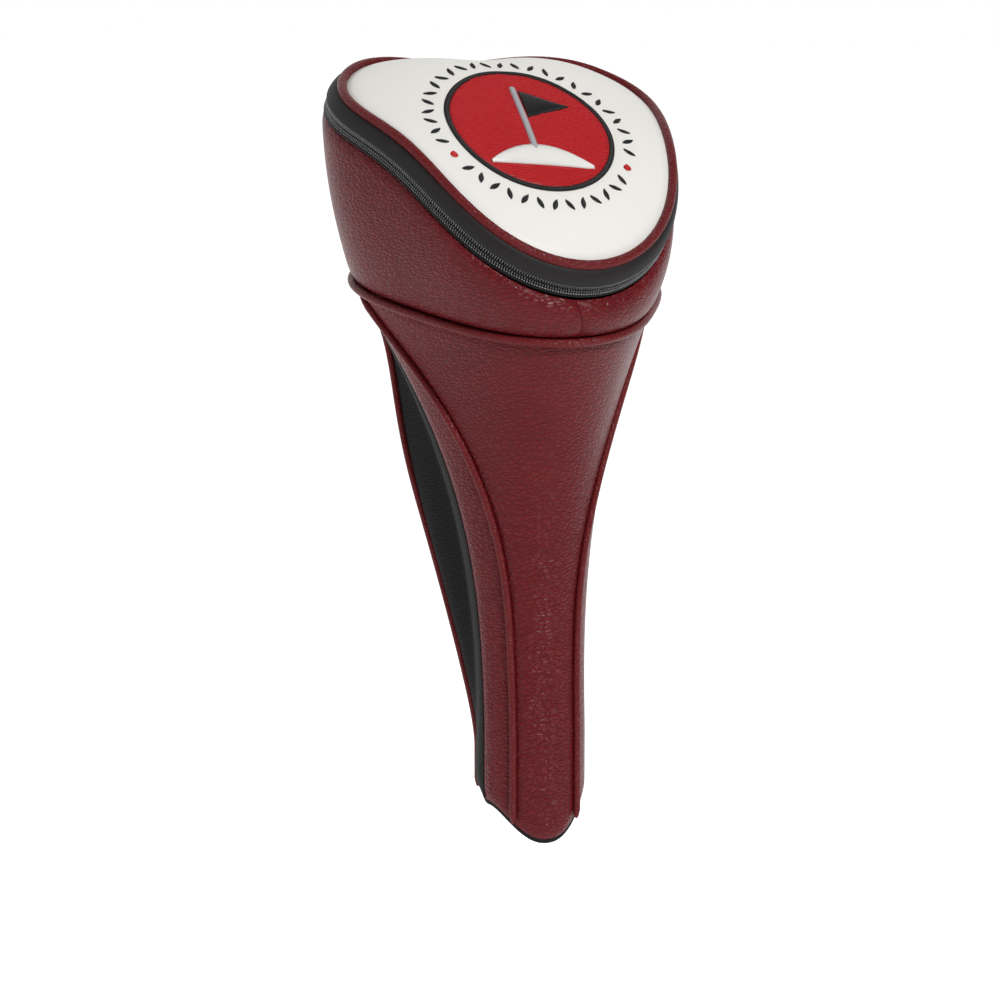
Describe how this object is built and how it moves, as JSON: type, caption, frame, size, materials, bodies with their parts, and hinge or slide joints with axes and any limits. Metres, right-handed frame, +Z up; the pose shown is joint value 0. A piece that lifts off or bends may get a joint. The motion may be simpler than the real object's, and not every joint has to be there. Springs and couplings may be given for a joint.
{
  "type": "driver head cover",
  "caption": "Padded leather cover for a golf driver head with a zipped crown and a long tapering neck that grips the shaft",
  "frame": {"origin": "On the shaft axis at the lowest edge of the neck mouth, which is the front tongue of the hem.", "axes": "+Z runs up the shaft axis towards the crown, the front panel faces -Y, and +X is to the right seen from the front."},
  "size_m": [0.1503, 0.1397, 0.3266],
  "materials": {
    "maroon_leather": "pebble-grained maroon synthetic leather, satin",
    "white_leather": "smooth off-white synthetic leather",
    "black_knit": "black stretch knit",
    "black_neoprene": "matte black neoprene",
    "black_tape": "woven black zip tape",
    "black_nylon": "black nylon zip coil",
    "grey_foam": "soft grey padding foam",
    "black_fleece": "black brushed lining",
    "red_thread": "red satin-stitch thread",
    "black_thread": "black satin-stitch thread",
    "grey_thread": "grey satin-stitch thread",
    "white_thread": "white satin-stitch thread",
    "dark_metal": "black-lacquered zinc",
    "bright_metal": "stamped aluminium"
  },
  "bodies": {
    "cover": {"neck_front_panel": "maroon_leather", "neck_side_panel_right": "maroon_leather", "neck_side_panel_left": "maroon_leather", "gusset_right": "black_knit", "gusset_left": "black_knit", "neck_back_panel": "maroon_leather", "front_piping_right": "maroon_leather", "back_binding_right": "maroon_leather", "front_piping_left": "maroon_leather", "back_binding_left": "maroon_leather", "neck_front_foam": "grey_foam", "neck_back_foam": "grey_foam", "neck_lining": "black_fleece", "neck_elastic_band": "black_knit", "hem_binding": "black_knit", "seam_piping": "maroon_leather", "wall_panel_right": "maroon_leather", "wall_panel_left": "maroon_leather", "wall_back_panel": "maroon_leather", "wall_foam": "grey_foam", "wall_lining": "black_fleece", "lower_zip_tape": "black_tape", "lower_zip_coil": "black_nylon", "zip_top_stop": "bright_metal", "zip_bottom_stop": "bright_metal", "hinge_strip": "black_knit"},
    "crown": {"upper_zip_tape": "black_tape", "upper_zip_coil": "black_nylon", "crown_panel": "white_leather", "crown_foam": "grey_foam", "crown_lining": "black_fleece", "crown_piping": "maroon_leather", "crown_band": "black_neoprene", "emblem_patch": "red_thread", "emblem_rim": "black_thread", "emblem_flag": "black_thread", "emblem_pole": "grey_thread", "emblem_mound": "white_thread"},
    "slider": {"zip_slider": "dark_metal"},
    "pull": {"zip_pull": "dark_metal"}
  },
  "joints": [
    {"name": "crown_hinge", "type": "hinge", "parent": "cover", "child": "crown", "pos_m": [-0.0075, 0.0722, 0.31768], "axis": [-0.9952, -0.058, 0.079], "range_deg": [0, 100], "deforming": ["hinge_strip"]},
    {"name": "slider_travel", "type": "hinge", "parent": "cover", "child": "slider", "pos_m": [0.02556, 0.02877, 0.3033], "axis": [-0.1601, 0.3671, -0.9163], "range_deg": [0, 22]},
    {"name": "pull_swing", "type": "hinge", "parent": "slider", "child": "pull", "pos_m": [0.05185, 0.0654, 0.31418], "axis": [0.7898, -0.5119, -0.3379], "range_deg": [0, 120]}
  ]
}
